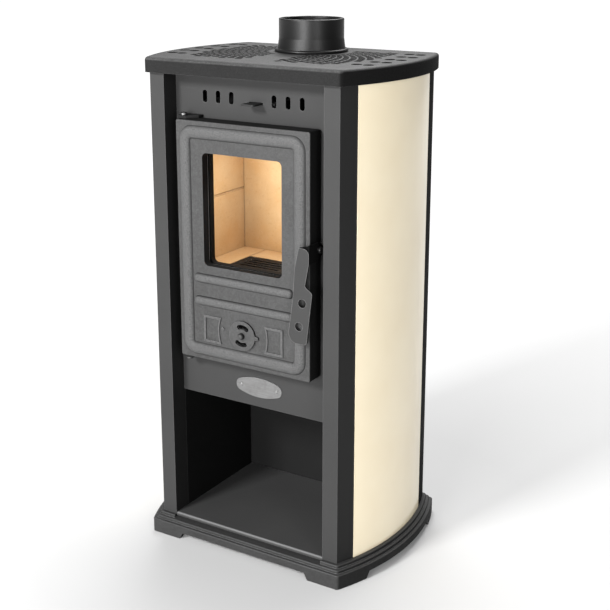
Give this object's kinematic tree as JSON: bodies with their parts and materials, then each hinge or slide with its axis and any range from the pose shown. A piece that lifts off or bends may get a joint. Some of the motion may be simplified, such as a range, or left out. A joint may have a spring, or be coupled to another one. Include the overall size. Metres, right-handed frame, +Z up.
{
  "type": "freestanding wood stove",
  "caption": "Tall freestanding wood stove: cast door with window, lever and air rosette, firebricks and grate, wood store below, openwork cast top and flue collar.",
  "frame": {"origin": "on the floor, under the middle of the overall box", "axes": "+Z up, -Y out of the front where the door is, +X to the right as seen from the front"},
  "size_m": [0.5016, 0.36, 0.97],
  "materials": {
    "cast_base": "matt stove paint on cast iron",
    "casing_paint": "matt stove paint",
    "side_enamel": "gloss cream enamel",
    "back_paint": "matt stove paint",
    "store_paint": "matt stove paint",
    "firebox_steel": "heat-proof black",
    "firebrick": "pressed fireclay",
    "grate_iron": "sand cast, sooted",
    "pan_steel": "plain sheet",
    "cast_top": "matt stove paint on cast iron",
    "flue_paint": "satin stove paint",
    "cast_door": "matt stove paint on cast iron",
    "seal_fibre": "woven ceramic fibre",
    "clear_glass": "clear heat-proof glass",
    "retainer_black": "heat-proof black",
    "bright_steel": "plain steel",
    "cast_rosette": "matt stove paint on cast iron",
    "lever_steel": "satin grey",
    "badge_metal": "satin, bare"
  },
  "bodies": {
    "carcass": {"air_duct": "firebox_steel", "ash_pan": "pan_steel", "back_brick": "firebrick", "back_brick_rails": "firebox_steel", "back_panel": "back_paint", "badge_plate": "badge_metal", "badge_rivets": "bright_steel", "baffle_plate": "firebrick", "base_plinth": "cast_base", "firebox_back": "firebox_steel", "firebox_bottom": "firebox_steel", "firebox_front": "firebox_steel", "firebox_side_left": "firebox_steel", "firebox_side_right": "firebox_steel", "firebox_top": "firebox_steel", "floor_brick_left": "firebrick", "floor_brick_rear": "firebrick", "floor_brick_right": "firebrick", "flue_collar": "flue_paint", "front_panel": "casing_paint", "front_post_left": "casing_paint", "front_post_right": "casing_paint", "grate": "grate_iron", "grate_shelf": "firebox_steel", "hinge_bracket_lower": "cast_door", "hinge_bracket_upper": "cast_door", "hinge_pins": "bright_steel", "latch_keeper": "lever_steel", "rear_post_left": "casing_paint", "rear_post_right": "casing_paint", "side_brick_lower_left": "firebrick", "side_brick_lower_right": "firebrick", "side_brick_upper_left": "firebrick", "side_brick_upper_right": "firebrick", "side_panel_left": "side_enamel", "side_panel_right": "side_enamel", "top_plate": "cast_top", "wood_store_back": "store_paint", "wood_store_ceiling": "store_paint", "wood_store_floor": "store_paint", "wood_store_wall_left": "store_paint", "wood_store_wall_right": "store_paint"},
    "door": {"door_casting": "cast_door", "glass_gasket": "seal_fibre", "door_glass": "clear_glass", "glass_retainer": "retainer_black", "retainer_screws": "bright_steel", "door_rope_seal": "seal_fibre", "lever_bolt": "bright_steel", "rosette_screw": "lever_steel"},
    "lever": {"handle_lever": "lever_steel"},
    "rosette": {"air_rosette": "cast_rosette"},
    "air_slide": {"air_slide": "lever_steel"}
  },
  "joints": [
    {"name": "door_hinge", "type": "hinge", "parent": "carcass", "child": "door", "pos_m": [-0.13, -0.148, 0.587], "axis": [0, 0, -1], "range_deg": [0, 105]},
    {"name": "lever_pivot", "type": "hinge", "parent": "door", "child": "lever", "pos_m": [0.144, -0.146, 0.604], "axis": [-1, 0, 0], "range_deg": [0, 25]},
    {"name": "rosette_turn", "type": "hinge", "parent": "door", "child": "rosette", "pos_m": [0, -0.165, 0.4305], "axis": [0, -1, 0], "range_deg": [0, 90]},
    {"name": "air_slide", "type": "slide", "parent": "carcass", "child": "air_slide", "axis": [0, 1, 0], "range_m": [0, 0.022]}
  ]
}
